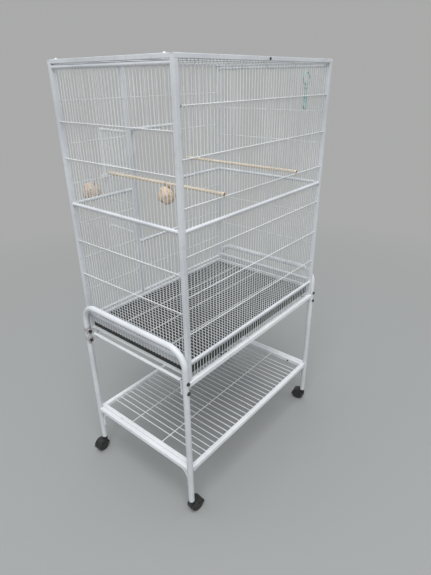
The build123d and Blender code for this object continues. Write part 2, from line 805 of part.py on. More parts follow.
# Lower bars join the legs at each end. Their ends are cut to the round of the legs.
shelf_end = leg_x - leg_radius - shelf_leg_gap
shelf_height = shelf_top - shelf_tube / 2
lower_bar_x = shelf_end + shelf_tube / 2
screw_hole = screw_shank + 2 * screw_clearance
shelf_screw_y = inner_y - shelf_screw_inset
lower_bars = []
for side in (-1, 1):
    x = side * lower_bar_x
    ends = ((x, -leg_y, shelf_height), (x, leg_y, shelf_height))
    bar = square_tube(*ends, shelf_tube, shelf_tube_wall, shelf_tube_corner)
    for y in (-leg_y, leg_y):
        foot = (side * leg_x, y, shelf_height - shelf_tube)
        bar = bar - rod(foot, (side * leg_x, y, shelf_height + shelf_tube), leg_diameter)
    for y in (-shelf_screw_y, shelf_screw_y):
        near = (side * shelf_end, y, shelf_height)
        bar = bar - rod(near, (x, y, shelf_height), screw_hole)
    lower_bars.append(max(bar.solids(), key=lambda solid: solid.volume))
save("lower_bars", lower_bars)

# A bent rod stiffens each corner between lower bar and leg.
leg_braces = []
brace_height = shelf_top - shelf_tube - brace_rod / 2
brace_y = inner_y - brace_rod / 2
for side_x in (-1, 1):
    for side_y in (-1, 1):
        x = side_x * lower_bar_x
        route = FilletPolyline(
            (x, side_y * (brace_y - brace_radius - brace_bar_run), brace_height),
            (x, side_y * brace_y, brace_height),
            (x, side_y * brace_y, brace_height - brace_radius - brace_leg_run),
            radius=brace_radius,
        )
        start = route @ 0
        circle = Plane(origin=start, z_dir=route % 0) * Circle(brace_rod / 2)
        leg_braces.append(sweep(circle, path=route).solid())
save("leg_braces", leg_braces)

# The shelf is a square-tube frame with wires across it, screwed to the lower bars.
shelf_y = inner_y + shelf_tube / 2
shelf_outer_y = inner_y + shelf_tube
shelf_inner_x = shelf_end - shelf_tube
shelf_frame = []
shelf_screws = []
for side in (-1, 1):
    x = side * (shelf_end - shelf_tube / 2)
    ends = ((x, -shelf_outer_y, shelf_height), (x, shelf_outer_y, shelf_height))
    end_tube = square_tube(*ends, shelf_tube, shelf_tube_wall, shelf_tube_corner)
    for y in (-shelf_screw_y, shelf_screw_y):
        near = (side * (shelf_inner_x - shelf_tube), y, shelf_height)
        end_tube = end_tube - rod(near, (side * lower_bar_x, y, shelf_height), screw_hole)
        seat = (side * (shelf_inner_x - shelf_screw_head_gap), y, shelf_height)
        head_plane = Plane(origin=seat, z_dir=(-side, 0, 0))
        head = Solid.make_cone(screw_head / 2, screw_head_top / 2, screw_head_height, head_plane)
        tip = (side * (lower_bar_x - screw_clearance), y, shelf_height)
        shelf_screws.append((head + rod(seat, tip, screw_shank)).solid())
    shelf_frame.append(end_tube.solid())
    ends = ((-shelf_inner_x, side * shelf_y, shelf_height), (shelf_inner_x, side * shelf_y, shelf_height))
    shelf_frame.append(square_tube(*ends, shelf_tube, shelf_tube_wall, shelf_tube_corner))
save("shelf_frame", shelf_frame)
save("shelf_screws", shelf_screws)

shelf_wires = []
shelf_wire_height = shelf_top - shelf_wire_drop
for x in spaced(2 * (shelf_inner_x - shelf_wire_end_gap), shelf_wire_pitch):
    shelf_wires.append(rod((x, -inner_y, shelf_wire_height), (x, inner_y, shelf_wire_height), shelf_wire))
long_wire_height = shelf_wire_height + shelf_wire + weld_gap
for y in (-shelf_long_wire_spacing / 2, shelf_long_wire_spacing / 2):
    left = (-shelf_inner_x, y, long_wire_height)
    shelf_wires.append(rod(left, (shelf_inner_x, y, long_wire_height), shelf_wire))
save("shelf_wires", shelf_wires)

# Twin-wheel casters: a socket in each leg, and a hood, an axle and two wheels that swivel under it.
wheel_radius = wheel_diameter / 2
hood_inner = wheel_radius + hood_gap
hood_outer = hood_inner + hood_shell
hood_width = caster_web + 2 * (wheel_side_play + wheel_width)
socket_bottom = leg_foot_height - socket_flange
hood_top = socket_bottom - hood_swivel_gap
stem_bore = stem_diameter + 2 * stem_clearance


def caster_socket(x, y):
    """The plug pressed into a leg, with the bore that the stem turns in."""
    bottom = (x, y, socket_bottom)
    flange = rod(bottom, (x, y, leg_foot_height), leg_diameter)
    bore_diameter = leg_diameter - 2 * leg_wall
    top = (x, y, leg_foot_height + socket_depth)
    plug = rod((x, y, leg_foot_height), top, bore_diameter - 2 * socket_play)
    return (flange + plug - rod(bottom, top, stem_bore)).solid()


def caster_hood():
    """The swivel hood, with its axle along Y and the stem on the Z axis."""
    axle = Vector(caster_trail, 0, wheel_radius)
    upright = Plane(origin=axle, x_dir=(1, 0, 0), z_dir=(0, -1, 0))
    half = hood_sweep / 2
    reach = 2 * hood_outer
    left_ray = (reach * math.cos(math.radians(90 + half)), reach * math.sin(math.radians(90 + half)))
    right_ray = (-left_ray[0], left_ray[1])
    below = make_face(Polyline((0, 0), left_ray, (0, -reach), right_ray, close=True))
    cover = Circle(hood_outer) - Circle(hood_inner) - below
    shell = extrude(upright * cover, amount=hood_width / 2, both=True)
    web = extrude(upright * (Circle(hood_outer) - below), amount=caster_web / 2, both=True)
    hub = extrude(upright * Circle(caster_hub / 2), amount=caster_web / 2, both=True)
    boss = rod((0, 0, wheel_radius), (0, 0, hood_top), hood_boss)
    boss = boss - extrude(upright * Circle(hood_inner), amount=hood_width, both=True)
    stem = rod((0, 0, hood_top), (0, 0, hood_top + stem_length), stem_diameter)
    hood = shell + web + hub + boss + stem
    return (hood - extrude(upright * Circle(caster_axle / 2), amount=hood_width, both=True)).solid()


def caster_wheels():
    """The two wheels, each with rounded edges and a recessed side."""
    middle = (caster_web + wheel_width) / 2 + wheel_side_play
    wheels = []
    for side in (-1, 1):
        place = Plane(origin=(caster_trail, side * middle, wheel_radius), z_dir=(0, side, 0))
        disc = extrude(Circle(wheel_radius), amount=wheel_width / 2, both=True)
        disc = fillet(disc.edges().filter_by(GeomType.CIRCLE), wheel_edge)
        groove = Circle(wheel_radius - wheel_hub_rim) - Circle(caster_hub / 2)
        recess = Plane((0, 0, wheel_width / 2 - wheel_hub_recess)) * groove
        disc = disc - extrude(recess, amount=wheel_width)
        disc = disc - extrude(Circle(caster_axle / 2 + caster_axle_clearance), amount=wheel_width, both=True)
        wheels.append((place * disc).solid())
    return wheels


sockets = []
for corner, yaw in caster_yaw.items():
    x = leg_x if "right" in corner else -leg_x
    y = leg_y if "back" in corner else -leg_y
    sockets.append(caster_socket(x, y))
    place = Location((x, y, 0), (0, 0, yaw))
    save(f"caster_hood_{corner}", caster_hood().moved(place))
    half_axle = hood_width / 2
    ends = ((caster_trail, -half_axle, wheel_radius), (caster_trail, half_axle, wheel_radius))
    save(f"caster_axle_{corner}", rod(*ends, caster_axle).moved(place))
    save(f"caster_wheels_{corner}", [wheel.moved(place) for wheel in caster_wheels()])
save("caster_sockets", sockets)
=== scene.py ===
import math
import random

import bmesh
import bpy
from mathutils import Matrix, Vector


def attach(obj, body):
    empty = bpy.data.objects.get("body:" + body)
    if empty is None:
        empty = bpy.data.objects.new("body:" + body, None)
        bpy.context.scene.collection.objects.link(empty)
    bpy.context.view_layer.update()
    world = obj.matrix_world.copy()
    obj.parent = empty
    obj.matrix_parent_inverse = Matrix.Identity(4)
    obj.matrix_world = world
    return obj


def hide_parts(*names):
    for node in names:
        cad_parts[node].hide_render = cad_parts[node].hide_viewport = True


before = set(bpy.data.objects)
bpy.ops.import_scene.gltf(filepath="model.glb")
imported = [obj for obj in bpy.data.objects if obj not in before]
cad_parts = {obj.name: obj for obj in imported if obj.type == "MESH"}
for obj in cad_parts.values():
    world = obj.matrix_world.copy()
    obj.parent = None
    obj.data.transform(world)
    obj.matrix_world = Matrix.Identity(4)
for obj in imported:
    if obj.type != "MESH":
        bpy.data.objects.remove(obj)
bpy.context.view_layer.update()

# Stand end frames. Each is one steel tube bent to an upside-down U and powder coated pale grey-white.
# The coat has a fine orange peel, a thin film of grime, and rust where the bolts have chafed it.
MM = 0.001


def new_finish(name):
    """A material with its shader and the object's own coordinates."""
    material = bpy.data.materials.new(name)
    material.use_nodes = True
    tree = material.node_tree
    shader = tree.nodes["Principled BSDF"]
    place = tree.nodes.new("ShaderNodeTexCoord").outputs["Object"]
    return material, tree, shader, place


def stretch(tree, place, scale):
    """The same coordinates drawn out along an axis, for grain and brush marks."""
    mapping = tree.nodes.new("ShaderNodeMapping")
    mapping.inputs["Scale"].default_value = scale
    tree.links.new(place, mapping.inputs["Vector"])
    return mapping.outputs["Vector"]


def mottle(tree, place, scale, detail):
    """Cloudy variation, with features about one over scale metres across."""
    noise = tree.nodes.new("ShaderNodeTexNoise")
    noise.inputs["Scale"].default_value = scale
    noise.inputs["Detail"].default_value = detail
    tree.links.new(place, noise.inputs["Vector"])
    return noise.outputs["Fac"]


def graded(tree, factor, stops):
    """A run of colours, or of grey levels, over a factor."""
    ramp = tree.nodes.new("ShaderNodeValToRGB")
    elements = ramp.color_ramp.elements
    while len(elements) < len(stops):
        elements.new(0.5)
    for element, (position, value) in zip(elements, stops):
        colour = value if isinstance(value, tuple) else (value, value, value)
        element.position = position
        element.color = (*colour, 1)
    tree.links.new(factor, ramp.inputs["Fac"])
    return ramp.outputs["Color"]


def over(tree, mask, under, colour):
    """A colour laid over another through a mask."""
    mix = tree.nodes.new("ShaderNodeMix")
    mix.data_type = "RGBA"
    tree.links.new(mask, mix.inputs["Factor"])
    tree.links.new(under, mix.inputs["A"])
    mix.inputs["B"].default_value = (*colour, 1)
    return mix.outputs["Result"]


def combined(tree, operation, first, second):
    """Two masks put together."""
    node = tree.nodes.new("ShaderNodeMath")
    node.operation = operation
    node.use_clamp = True
    for socket, value in zip(node.inputs, (first, second)):
        if isinstance(value, (int, float)):
            socket.default_value = value
        else:
            tree.links.new(value, socket)
    return node.outputs["Value"]


def rough_skin(tree, shader, height, strength, depth):
    """Surface relief from a height."""
    bump = tree.nodes.new("ShaderNodeBump")
    bump.inputs["Strength"].default_value = strength
    bump.inputs["Distance"].default_value = depth
    tree.links.new(height, bump.inputs["Height"])
    tree.links.new(bump.outputs["Normal"], shader.inputs["Normal"])


def powder_coat(name, light, dark, rust_at=()):
    """Pale baked-on paint over steel."""
    material, tree, shader, place = new_finish(name)
    colour = graded(tree, mottle(tree, place, 6, 3), [(0.35, dark), (0.62, light)])
    film = graded(tree, mottle(tree, place, 55, 8), [(0.56, 0.0), (0.78, 0.34)])
    colour = over(tree, film, colour, (0.47, 0.45, 0.4))
    chips = graded(tree, mottle(tree, place, 210, 4), [(0.735, 0.0), (0.77, 0.75)])
    colour = over(tree, chips, colour, (0.3, 0.2, 0.13))
    for spot in rust_at:
        reach = tree.nodes.new("ShaderNodeVectorMath")
        reach.operation = "DISTANCE"
        reach.inputs[1].default_value = spot
        tree.links.new(place, reach.inputs[0])
        near = graded(tree, reach.outputs["Value"], [(0.005, 1.0), (0.021, 0.0)])
        ragged = graded(tree, mottle(tree, place, 170, 6), [(0.4, 0.15), (0.6, 1.0)])
        colour = over(tree, combined(tree, "MULTIPLY", near, ragged), colour, (0.13, 0.055, 0.025))
    tree.links.new(colour, shader.inputs["Base Color"])
    gloss = graded(tree, mottle(tree, place, 30, 4), [(0.3, 0.34), (0.7, 0.5)])
    tree.links.new(gloss, shader.inputs["Roughness"])
    rough_skin(tree, shader, mottle(tree, place, 620, 2), 0.12, 0.0004)
    return material


def dress(material, *nodes):
    """Give solids from the frame their finish."""
    for node in nodes:
        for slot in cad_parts[node].material_slots:
            slot.material = material


def turned(bm, profile, centre, axis, across, steps):
    """A shape turned on a lathe: profile points are (distance along the axis, radius)."""
    axis = Vector(axis).normalized()
    across = Vector(across).normalized()
    centre = Vector(centre)
    verts = [bm.verts.new(centre + axis * along + across * radius) for along, radius in profile]
    edges = [bm.edges.new(pair) for pair in zip(verts, verts[1:])]
    bmesh.ops.spin(
        bm, geom=verts + edges, cent=centre, axis=axis, angle=2 * math.pi, steps=steps, use_merge=True
    )


def piece(name, bm, material, body, smooth=True):
    """Close a mesh, name it, and set it on the body that carries it."""
    bmesh.ops.remove_doubles(bm, verts=bm.verts, dist=1e-6)
    bmesh.ops.recalc_face_normals(bm, faces=bm.faces)
    mesh = bpy.data.meshes.new(name)
    bm.to_mesh(mesh)
    bm.free()
    mesh.materials.append(material)
    for face in mesh.polygons:
        face.use_smooth = smooth
    made = bpy.data.objects.new(name, mesh)
    bpy.context.scene.collection.objects.link(made)
    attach(made, body)
    return made


coat_light = (0.74, 0.765, 0.79)
coat_dark = (0.63, 0.655, 0.68)
leg_x, leg_y = 366.35 * MM, 230.15 * MM
leg_radius = 9.5 * MM
leg_foot = 49 * MM
bolt_seat = leg_y + leg_radius
leg_bolt_heights = (531 * MM, 497 * MM)
rusted = [(leg_x, -bolt_seat, z) for z in leg_bolt_heights]
rusted += [(leg_x, -bolt_seat + 2 * leg_radius, z) for z in leg_bolt_heights]
leg_coat = powder_coat("leg_coat", coat_light, coat_dark, rusted)
dress(leg_coat, "stand_frame_left", "stand_frame_right")

# Leg rims. Each leg's cut end shows as a bright bare rim just above its caster, where the coat has worn off
# the tube's edge;
# its pale steel is partly a painted highlight on that edge.


def bare_metal(name, scale, stops, roughness):
    """Metal with no coat, mottled by handling."""
    material, tree, shader, place = new_finish(name)
    tree.links.new(graded(tree, mottle(tree, place, scale, 4), stops), shader.inputs["Base Color"])
    shader.inputs["Metallic"].default_value = 0.9
    shader.inputs["Roughness"].default_value = roughness
    return material


def round_section(wire, radius, sides):
    """The circle that turns into a ring, from the wire's radius and the ring's."""
    angles = [2 * math.pi * step / sides for step in range(sides + 1)]
    return [(wire * math.sin(angle), radius + wire * math.cos(angle)) for angle in angles]


rim_highlight_steel = bare_metal("bare_steel_painted_highlight", 300, [(0.35, (0.62, 0.62, 0.63)), (0.7, (0.86, 0.87, 0.88))], 0.32)
rims = bmesh.new()
rim_wire = 0.7 * MM
rim_sink = rim_wire * 0.6
for x in (-leg_x, leg_x):
    for y in (-leg_y, leg_y):
        rim = round_section(rim_wire, leg_radius - rim_sink, 8)
        turned(rims, rim, (x, y, leg_foot + rim_wire), (0, 0, 1), (1, 0, 0), 32)
piece("leg_rims", rims, rim_highlight_steel, "cage")

# Stand rails, corner plates and cross tubes. Square and round steel tube and flat plate, all powder coated.
# The plates are welded to the rails and tubes, and bolted to the legs.
frame_coat = powder_coat("frame_coat", coat_light, coat_dark)
plate_coat = powder_coat("plate_coat", coat_light, coat_dark, rusted[2:])
# The paler copy of the coat is painted light: it brightens the lit tops of the stand rails, cross tubes,
# lower bars, shelf and tray runners.
painted_highlight_coat = powder_coat("painted_highlight_coat", (0.88, 0.895, 0.91), (0.79, 0.805, 0.825))
dress(painted_highlight_coat, "stand_rail_front", "stand_rail_back", "cross_tubes")
dress(plate_coat, "corner_plates")

# Stand bolts and nuts. Dark plated hexagon bolts with a washer under the head, and a nut inside each plate.
# The bolts on the front right leg have rusted.
dark_steel, tree, shader, place = new_finish("dark_plated_steel")
plating = graded(tree, mottle(tree, place, 260, 5), [(0.3, (0.03, 0.028, 0.027)), (0.7, (0.1, 0.095, 0.09))])
rust = graded(tree, mottle(tree, place, 420, 6), [(0.56, 0.0), (0.66, 0.85)])
tree.links.new(over(tree, rust, plating, (0.17, 0.065, 0.025)), shader.inputs["Base Color"])
shader.inputs["Metallic"].default_value = 0.6
tree.links.new(graded(tree, rust, [(0.0, 0.36), (1.0, 0.85)]), shader.inputs["Roughness"])
rough_skin(tree, shader, mottle(tree, place, 900, 3), 0.3, 0.0003)

bolts = bmesh.new()
plate_inside = 217.65 * MM
nut_thickness, thread_past_nut = 5 * MM, 2 * MM
bolt_radius, bolt_chamfer = 3 * MM, 0.8 * MM
washer_thickness, washer_radius = 1 * MM, 6.2 * MM
head_height, head_corner, head_bevel = 3 * MM, 5.5 * MM, 0.5 * MM
bolt_reach = bolt_seat - (plate_inside - nut_thickness - thread_past_nut)
washer = [
    (0, bolt_radius), (0, washer_radius), (0.7 * washer_thickness, washer_radius),
    (washer_thickness, 0.93 * washer_radius), (washer_thickness, bolt_radius),
]
shank = [
    (0, bolt_radius), (bolt_chamfer - bolt_reach, bolt_radius),
    (-bolt_reach, bolt_radius - bolt_chamfer), (-bolt_reach, 0),
]
for side_x in (-1, 1):
    for side_y in (-1, 1):
        for z in leg_bolt_heights:
            out = Vector((0, side_y, 0))
            start = Vector((side_x * leg_x, side_y * bolt_seat, z))
            turned(bolts, washer, start, out, (1, 0, 0), 24)
            tilt = out.to_track_quat("Z", "Y").to_matrix().to_4x4()
            middle = Matrix.Translation(start + out * (washer_thickness + head_height / 2)) @ tilt
            head = bmesh.ops.create_cone(
                bolts, cap_ends=True, segments=6, radius1=head_corner, radius2=head_corner,
                depth=head_height, matrix=middle,
            )
            corners = [e for e in bolts.edges if all(v in head["verts"] for v in e.verts)]
            bmesh.ops.bevel(
                bolts, geom=corners, offset=head_bevel, segments=2, profile=0.5, affect="EDGES", material=-1
            )
            turned(bolts, shank, start, out, (1, 0, 0), 16)
bolt_piece = piece("stand_bolt_set", bolts, dark_steel, "cage", smooth=False)
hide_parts("stand_bolts")
dress(dark_steel, "stand_nuts")

# Lower bars, leg braces and the wire shelf. Square tube, bent rod and drawn wire, welded and coated together.
# The shelf's frame is screwed to the lower bars, with a narrow groove left between them.
# The lower bars, braces and shelf take the paler coat, painted light for their lit tops.
dress(painted_highlight_coat, "lower_bars", "leg_braces", "shelf_frame", "shelf_wires")
dress(dark_steel, "shelf_screws")


def nugget(bm, at, along, length, radius):
    """A small blob of weld round the end of a wire."""
    turn = Vector(along).to_track_quat("Z", "Y").to_matrix().to_4x4()
    shape = Matrix.Translation(Vector(at)) @ turn @ Matrix.Diagonal((radius, radius, length, 1))
    bmesh.ops.create_uvsphere(bm, u_segments=8, v_segments=5, radius=1, matrix=shape)


shelf_welds = bmesh.new()
shelf_inside = 220.65 * MM
shelf_inner_x = 340.55 * MM
shelf_wire_z = 188 * MM
shelf_pitch, shelf_end_gap = 23 * MM, 38 * MM
cross_wire_y = 76 * MM
wire_end_weld = (1.5 * MM, 2.5 * MM)
crossing_weld = (2.2 * MM, 1.5 * MM)
cross_end_weld = (1.6 * MM, 2.5 * MM)
shelf_count = int(2 * (shelf_inner_x - shelf_end_gap) / shelf_pitch) + 1
for index in range(shelf_count):
    x = (index - (shelf_count - 1) / 2) * shelf_pitch
    for y in (-shelf_inside, shelf_inside):
        nugget(shelf_welds, (x, y, shelf_wire_z), (0, 1, 0), *wire_end_weld)
    for y in (-cross_wire_y, cross_wire_y):
        nugget(shelf_welds, (x, y, shelf_wire_z + 1.5 * MM), (1, 0, 0), *crossing_weld)
for x in (-shelf_inner_x, shelf_inner_x):
    for y in (-cross_wire_y, cross_wire_y):
        nugget(shelf_welds, (x, y, shelf_wire_z + 3 * MM), (1, 0, 0), *cross_end_weld)
piece("shelf_wire_welds", shelf_welds, painted_highlight_coat, "cage")

# Painted shade in the shelf's grooves. A thin dark fillet lies between each lower bar and the shelf's end
# tube, painted shade where the narrow groove falls dark.
groove_shade_paint, tree, shader, place = new_finish("painted_groove_shade")
tree.links.new(
    graded(tree, mottle(tree, place, 140, 6), [(0.3, (0.1, 0.1, 0.095)), (0.7, (0.26, 0.26, 0.25))]),
    shader.inputs["Base Color"],
)
shader.inputs["Roughness"].default_value = 0.95
rough_skin(tree, shader, mottle(tree, place, 900, 4), 0.4, 0.0003)
groove_shade_mesh = bmesh.new()
groove_x, groove_z = 356.55 * MM, 192.6 * MM
shade_fillet_half_width, shade_fillet_half_height, shade_fillet_length = 1.9 * MM, 0.5 * MM, 430 * MM
for x in (-groove_x, groove_x):
    lying = Matrix.Translation((x, 0, groove_z)) @ Matrix.Rotation(math.radians(90), 4, "X")
    fillet = Matrix.Diagonal((shade_fillet_half_width, shade_fillet_half_height, shade_fillet_length, 1))
    bmesh.ops.create_cone(
        groove_shade_mesh, cap_ends=True, segments=10, radius1=1, radius2=1, depth=1, matrix=lying @ fillet
    )
piece("shelf_groove_shade", groove_shade_mesh, groove_shade_paint, "cage")

# Tube ends. The top bars, lower bars and stand rails are closed with small welded plates,
# ground almost flush.
tube_ends = bmesh.new()


def end_plate(bm, at, out, width, rise):
    """A plate that closes the end of a tube."""
    thickness, sunk, worn_edge = 0.8 * MM, 0.3 * MM, 0.25 * MM
    turn = Vector(out).to_track_quat("Z", "Y").to_matrix().to_4x4()
    shape = Matrix.Translation(Vector(at) - Vector(out) * (sunk + thickness / 2)) @ turn
    made = bmesh.ops.create_cube(bm, size=1, matrix=shape @ Matrix.Diagonal((width, rise, thickness, 1)))
    edges = {edge for vert in made["verts"] for edge in vert.link_edges}
    bmesh.ops.bevel(
        bm, geom=list(edges), offset=worn_edge, segments=1, profile=0.5, affect="EDGES", material=-1
    )


top_bar_x, top_bar_y, top_bar_z = 356.35 * MM, 227 * MM, 1351 * MM
lower_bar_x, lower_bar_y, lower_bar_z = 348.55 * MM, 236.65 * MM, 186 * MM
stand_rail_x, stand_rail_y, stand_rail_z = 354.85 * MM, 228.65 * MM, 519 * MM
top_bar_bore = (10.8 * MM, 8.1 * MM)
square_bore = (13.2 * MM, 13.2 * MM)
for x in (-1, 1):
    for y in (-1, 1):
        end_plate(tube_ends, (x * top_bar_x, y * top_bar_y, top_bar_z), (x, 0, 0), *top_bar_bore)
        end_plate(tube_ends, (x * lower_bar_x, y * lower_bar_y, lower_bar_z), (0, y, 0), *square_bore)
        end_plate(tube_ends, (x * stand_rail_x, y * stand_rail_y, stand_rail_z), (x, 0, 0), *square_bore)
piece("tube_end_plates", tube_ends, frame_coat, "cage", smooth=False)

# Casters. Black moulded twin-wheel casters: a hood that swivels on a stem, and two wheels on a steel axle.
# Their stems turn in black plugs pressed into the legs.
moulded_black, tree, shader, place = new_finish("moulded_black")
body_stops = [(0.3, (0.012, 0.012, 0.013)), (0.75, (0.034, 0.034, 0.036))]
body_tone = graded(tree, mottle(tree, place, 40, 4), body_stops)
scuffs = graded(tree, mottle(tree, stretch(tree, place, (1, 1, 3)), 160, 7), [(0.6, 0.0), (0.72, 0.4)])
tree.links.new(over(tree, scuffs, body_tone, (0.12, 0.115, 0.1)), shader.inputs["Base Color"])
tree.links.new(graded(tree, scuffs, [(0.0, 0.42), (0.4, 0.7)]), shader.inputs["Roughness"])
rough_skin(tree, shader, mottle(tree, place, 1100, 2), 0.25, 0.0002)
dress(moulded_black, "caster_sockets")

axle_stops = [(0.3, (0.05, 0.05, 0.05)), (0.7, (0.13, 0.13, 0.13))]
axle_steel = bare_metal("blackened_axle_steel", 500, axle_stops, 0.38)

tyre_black, tree, shader, place = new_finish("tyre_black")
tread = graded(tree, mottle(tree, place, 70, 5), [(0.3, (0.014, 0.014, 0.014)), (0.7, (0.045, 0.044, 0.042))])
earth = graded(tree, mottle(tree, place, 110, 8), [(0.52, 0.0), (0.75, 0.5)])
tree.links.new(over(tree, earth, tread, (0.13, 0.11, 0.08)), shader.inputs["Base Color"])
shader.inputs["Roughness"].default_value = 0.66
rough_skin(tree, shader, mottle(tree, place, 700, 4), 0.3, 0.0003)

caster_turns = {"front_left": 200, "front_right": 6, "back_left": -80, "back_right": 175}
wheel_radius = 21 * MM
trail = 18 * MM
wheel_half = 6 * MM
wheel_middle = 9.1 * MM
axle_bore = 3.05 * MM
shoulder, tread_groove = 2 * MM, 0.5 * MM
web_face = wheel_half - 1.4 * MM
wheel_profile = [
    (-wheel_half, axle_bore), (-wheel_half, wheel_radius - 2.2 * MM),
    (-wheel_half + 0.8 * MM, wheel_radius - 0.6 * MM), (-wheel_half + shoulder, wheel_radius),
    (-tread_groove, wheel_radius), (0, wheel_radius - tread_groove), (tread_groove, wheel_radius),
    (wheel_half - shoulder, wheel_radius), (wheel_half - 0.8 * MM, wheel_radius - 0.6 * MM),
    (wheel_half, wheel_radius - 2.2 * MM), (wheel_half, wheel_radius - 5.5 * MM),
    (web_face, wheel_radius - 6.4 * MM), (web_face, 8.4 * MM), (wheel_half - 0.6 * MM, 7.6 * MM),
    (wheel_half - 0.2 * MM, 6.6 * MM), (wheel_half, 5 * MM), (wheel_half, axle_bore),
    (-wheel_half, axle_bore),
]
rib_count = 6
rib_at = 11.4 * MM
rib_sink = 1.3 * MM
rib_size = Matrix.Diagonal((7.4 * MM, 1.6 * MM, 1.4 * MM, 1))
rib_bevel = 0.3 * MM
for corner, turn in caster_turns.items():
    dress(moulded_black, f"caster_hood_{corner}")
    dress(axle_steel, f"caster_axle_{corner}")
    heading = Matrix.Rotation(math.radians(turn), 3, "Z")
    stem = Vector((leg_x if "right" in corner else -leg_x, leg_y if "back" in corner else -leg_y, 0))
    hub = stem + heading @ Vector((trail, 0, wheel_radius))
    wheels = bmesh.new()
    for side in (-1, 1):
        outward = heading @ Vector((0, side, 0))
        turned(wheels, wheel_profile, hub + outward * wheel_middle, outward, (0, 0, 1), 48)
        for rib in range(rib_count):
            angle = math.radians(360 / rib_count * rib)
            across = heading @ Vector((math.cos(angle), 0, math.sin(angle)))
            lift = across.cross(outward)
            at = hub + outward * (wheel_middle + wheel_half - rib_sink) + across * rib_at
            facing = Matrix((across, lift, outward)).transposed().to_4x4()
            made = bmesh.ops.create_cube(wheels, size=1, matrix=Matrix.Translation(at) @ facing @ rib_size)
            edges = {edge for vert in made["verts"] for edge in vert.link_edges}
            bmesh.ops.bevel(
                wheels, geom=list(edges), offset=rib_bevel, segments=2, profile=0.5, affect="EDGES",
                material=-1,
            )
    wheel_body = f"caster_wheels_{corner}"
    wheel_pair = piece(f"wheel_pair_{corner}", wheels, tyre_black, wheel_body)
    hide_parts(f"caster_wheels_{corner}")

# Cage posts, rails, stiles and top bars. Square and round steel tube, welded at every meeting and coated.
# A bead of weld shows round the end of each round rail.
post_coat = powder_coat("post_coat", (0.72, 0.745, 0.775), (0.61, 0.635, 0.665))
dress(
    post_coat, "corner_posts", "front_stiles", "front_rails", "back_rails", "left_end_rails",
    "right_end_rails",
)
half_width, half_depth = 350 * MM, 227 * MM
inner_x, inner_y = 343.65 * MM, 220.65 * MM
stile_inner, stile_outer = 107.65 * MM, 120.35 * MM
rail_radius = 5 * MM
mid_rail, bottom_rail = 970 * MM, 584.5 * MM
end_bottom_rail, end_top_rail = 593.5 * MM, 1338 * MM
header, sill = 1160 * MM, 781 * MM
top_underside = 1346 * MM
rail_welds = bmesh.new()


def rail_weld(bm, at, along):
    """The bead of weld round a rail's end."""
    along = Vector(along)
    bead = 1.1 * MM
    turned(bm, round_section(bead, rail_radius, 6), Vector(at) - along * bead * 0.5, along, (0, 0, 1), 20)


for side in (-1, 1):
    for z in (mid_rail, bottom_rail):
        rail_weld(rail_welds, (side * inner_x, half_depth, z), (side, 0, 0))
        rail_weld(rail_welds, (side * inner_x, -half_depth, z), (side, 0, 0))
    for z in (end_top_rail, mid_rail, end_bottom_rail):
        for end in (-1, 1):
            rail_weld(rail_welds, (end * half_width, side * inner_y, z), (0, side, 0))
    rail_weld(rail_welds, (side * stile_outer, -half_depth, mid_rail), (-side, 0, 0))
    for z in (header, sill):
        rail_weld(rail_welds, (side * stile_inner, -half_depth, z), (side, 0, 0))
piece("rail_welds", rail_welds, post_coat, "cage")

# Wire panels. Straight drawn wires let into the rails half an inch apart, with heavier wires welded across.
# A small bead stands where each wire goes into a rail.
wire_coat = powder_coat("wire_coat", (0.77, 0.785, 0.79), (0.66, 0.675, 0.68))
dress(
    wire_coat, "back_wires", "left_end_wires", "right_end_wires", "roof_wires", "front_wires_left",
    "front_wires_right", "front_wires_over_door", "front_wires_under_door",
)
wire_pitch = 12.7 * MM
edge_gap = 4 * MM


def wire_places(low, high):
    """Where the upright wires stand between two frame edges."""
    first = math.ceil((low + edge_gap) / wire_pitch - 0.5)
    last = math.floor((high - edge_gap) / wire_pitch - 0.5)
    return [(index + 0.5) * wire_pitch for index in range(first, last + 1)]


def both_edges(rail):
    """The heights of a round rail's upper and lower edge."""
    return rail + rail_radius, rail - rail_radius


bead_length, bead_radius = 1.8 * MM, 2.3 * MM
back_beads = bmesh.new()
for x in wire_places(-inner_x, inner_x):
    for z in (top_underside, *both_edges(mid_rail), *both_edges(bottom_rail)):
        nugget(back_beads, (x, half_depth, z), (0, 0, 1), bead_length, bead_radius)
piece("back_wire_beads", back_beads, wire_coat, "cage")
rusted_weld = bmesh.new()
rusted_weld_at = (inner_x - 5.6 * MM, half_depth + 2.55 * MM, 1255 * MM)
nugget(rusted_weld, rusted_weld_at, (1, 0, 0), 3 * MM, 2.1 * MM)
piece("rusted_weld", rusted_weld, dark_steel, "cage")

for name, side in (("left", -1), ("right", 1)):
    end_beads = bmesh.new()
    for y in wire_places(-inner_y, inner_y):
        for z in (end_top_rail - rail_radius, *both_edges(mid_rail), *both_edges(end_bottom_rail)):
            nugget(end_beads, (side * half_width, y, z), (0, 0, 1), bead_length, bead_radius)
    piece(f"{name}_wire_beads", end_beads, wire_coat, "cage")

front_beads = bmesh.new()
fields = [
    (-inner_x, -stile_outer, (top_underside, *both_edges(mid_rail))),
    (stile_outer, inner_x, (top_underside, *both_edges(mid_rail))),
    (-stile_inner, stile_inner, (top_underside, header + rail_radius, sill - rail_radius)),
]
for low, high, heights in fields:
    for x in wire_places(low, high):
        for z in (*heights, bottom_rail + rail_radius):
            nugget(front_beads, (x, -half_depth, z), (0, 0, 1), bead_length, bead_radius)
piece("front_wire_beads", front_beads, wire_coat, "cage")

